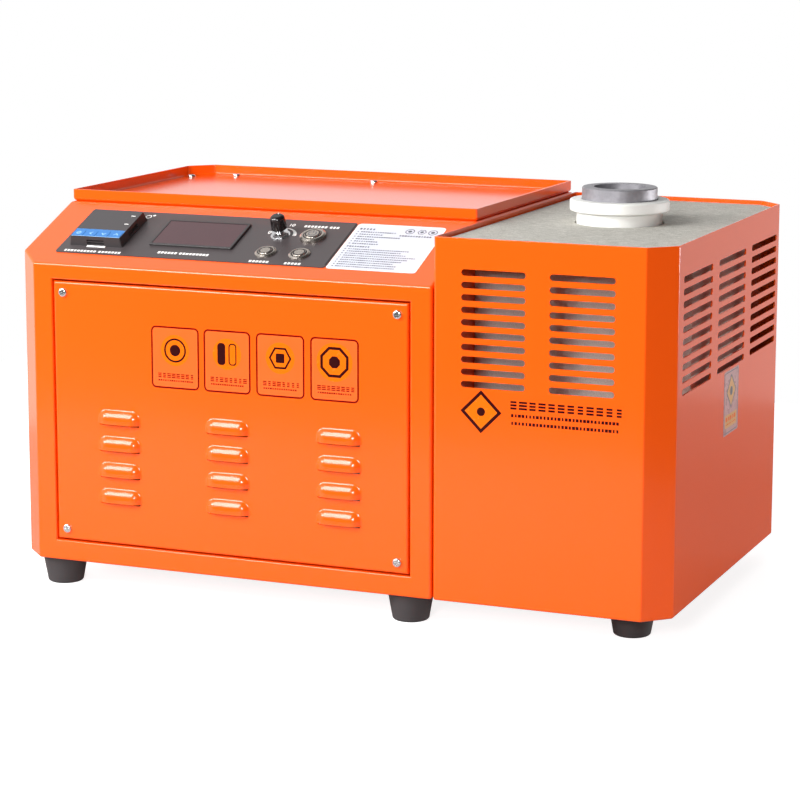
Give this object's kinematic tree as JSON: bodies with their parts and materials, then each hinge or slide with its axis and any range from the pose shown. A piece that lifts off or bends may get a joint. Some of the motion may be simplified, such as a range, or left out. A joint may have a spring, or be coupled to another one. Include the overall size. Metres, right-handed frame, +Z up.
{
  "type": "electric gold melting furnace",
  "caption": "Bench induction furnace: sloping control panel, louvred service door and tool tray on the left, slotted coil box with a lift-out graphite crucible on the right.",
  "frame": {"origin": "middle of the footprint (over everything that stands out), on the plane of the feet", "axes": "+Z up, +X to the right along the front, the control face and door look towards -Y"},
  "size_m": [0.5992, 0.3796, 0.3584],
  "materials": {
    "orange_coat": "gloss powder coat",
    "fascia_film": "matte",
    "sticker_white": "gloss film",
    "sticker_silver": "gloss film",
    "controller_plastic": "fine spark-eroded",
    "lens_smoke": "gloss",
    "key_blue": "satin",
    "display_frame": "satin",
    "window_red": "gloss",
    "circuit_board": "solder mask",
    "button_steel": "satin",
    "plated_steel": "zinc plated",
    "knob_black": "satin",
    "heat_sink_alu": "extruded",
    "module_black": "matte",
    "capacitor_grey": "matte",
    "copper": "bare copper",
    "choke_core": "matte ferrite",
    "terminal_cream": "matte",
    "fan_black": "matte",
    "chrome_wire": "bright",
    "fibre_board": "matte",
    "lining_board": "matte",
    "fire_brick": "matte",
    "white_ceramic": "matte",
    "graphite": "machined graphite",
    "ceramic_fibre": "matte",
    "insulator_bar": "phenolic",
    "probe_steel": "drawn",
    "foot_rubber": "matte",
    "gland_black": "matte"
  },
  "bodies": {
    "furnace": {"bus_bars": "copper", "cabinet_base": "orange_coat", "cabinet_rear_panel": "orange_coat", "cable_gland": "gland_black", "capacitor_bank": "capacitor_grey", "choke": "choke_core", "coil_bars": "insulator_bar", "control_board": "circuit_board", "controller_case": "controller_plastic", "controller_key_strip": "key_blue", "controller_lens": "lens_smoke", "crucible_sleeve": "white_ceramic", "display_bezel": "display_frame", "display_board": "circuit_board", "display_window": "window_red", "divider_panel": "orange_coat", "door_ledge": "orange_coat", "fan_frames": "fan_black", "fan_guards": "chrome_wire", "fan_screws": "plated_steel", "fascia_plate": "fascia_film", "feet": "foot_rubber", "fire_bricks": "fire_brick", "foot_screws": "plated_steel", "front_panel": "orange_coat", "furnace_base": "orange_coat", "furnace_rear_panel": "orange_coat", "furnace_shell": "orange_coat", "heat_sink": "heat_sink_alu", "induction_coil": "copper", "insulating_wrap": "ceramic_fibre", "joining_bolts": "plated_steel", "left_side_panel": "orange_coat", "lining_boards": "lining_board", "pan_head_screws": "plated_steel", "panel_nuts": "plated_steel", "potentiometer": "plated_steel", "power_button_bezel": "button_steel", "power_modules": "module_black", "rating_sticker": "sticker_white", "service_door": "orange_coat", "side_sticker": "sticker_silver", "start_button_bezel": "button_steel", "stop_button_bezel": "button_steel", "terminal_block": "terminal_cream", "thermocouple": "probe_steel", "top_board": "fibre_board", "top_tray": "orange_coat"},
    "start_cap": {"start_button_cap": "button_steel"},
    "stop_cap": {"stop_button_cap": "button_steel"},
    "power_cap": {"power_button_cap": "button_steel"},
    "knob": {"power_knob": "knob_black", "potentiometer_shaft": "plated_steel"},
    "key_1": {"controller_key_1": "key_blue"},
    "key_2": {"controller_key_2": "key_blue"},
    "key_3": {"controller_key_3": "key_blue"},
    "key_4": {"controller_key_4": "key_blue"},
    "cabinet_rotor": {"cabinet_fan_rotor": "fan_black"},
    "box_rotor": {"box_fan_rotor": "fan_black"},
    "crucible": {"crucible": "graphite"}
  },
  "joints": [
    {"name": "start_press", "type": "slide", "parent": "furnace", "child": "start_cap", "axis": [0, 0.3746, -0.9272], "range_m": [0, 0.0015], "stiffness_N_per_m": 900, "springref_m": -0.001},
    {"name": "stop_press", "type": "slide", "parent": "furnace", "child": "stop_cap", "axis": [0, 0.3746, -0.9272], "range_m": [0, 0.0015], "stiffness_N_per_m": 900, "springref_m": -0.001},
    {"name": "power_press", "type": "slide", "parent": "furnace", "child": "power_cap", "axis": [0, 0.3746, -0.9272], "range_m": [0, 0.0025], "stiffness_N_per_m": 900, "springref_m": -0.001},
    {"name": "knob_turn", "type": "hinge", "parent": "furnace", "child": "knob", "pos_m": [-0.071, -0.12067, 0.31507], "axis": [0, -0.3746, 0.9272], "range_deg": [-150, 150]},
    {"name": "key_1_press", "type": "slide", "parent": "furnace", "child": "key_1", "axis": [0, 0.3746, -0.9272], "range_m": [0, 0.0004], "stiffness_N_per_m": 700, "springref_m": -0.001},
    {"name": "key_2_press", "type": "slide", "parent": "furnace", "child": "key_2", "axis": [0, 0.3746, -0.9272], "range_m": [0, 0.0004], "stiffness_N_per_m": 700, "springref_m": -0.001},
    {"name": "key_3_press", "type": "slide", "parent": "furnace", "child": "key_3", "axis": [0, 0.3746, -0.9272], "range_m": [0, 0.0004], "stiffness_N_per_m": 700, "springref_m": -0.001},
    {"name": "key_4_press", "type": "slide", "parent": "furnace", "child": "key_4", "axis": [0, 0.3746, -0.9272], "range_m": [0, 0.0004], "stiffness_N_per_m": 700, "springref_m": -0.001},
    {"name": "cabinet_fan_spin", "type": "hinge", "parent": "furnace", "child": "cabinet_rotor", "pos_m": [-0.0846, 0.1518, 0.195], "axis": [0, 1, 0], "continuous": true},
    {"name": "box_fan_spin", "type": "hinge", "parent": "furnace", "child": "box_rotor", "pos_m": [0.19815, 0.1518, 0.175], "axis": [0, 1, 0], "continuous": true},
    {"name": "crucible_lift", "type": "slide", "parent": "furnace", "child": "crucible", "axis": [0, 0, 1], "range_m": [0, 0.16]}
  ]
}
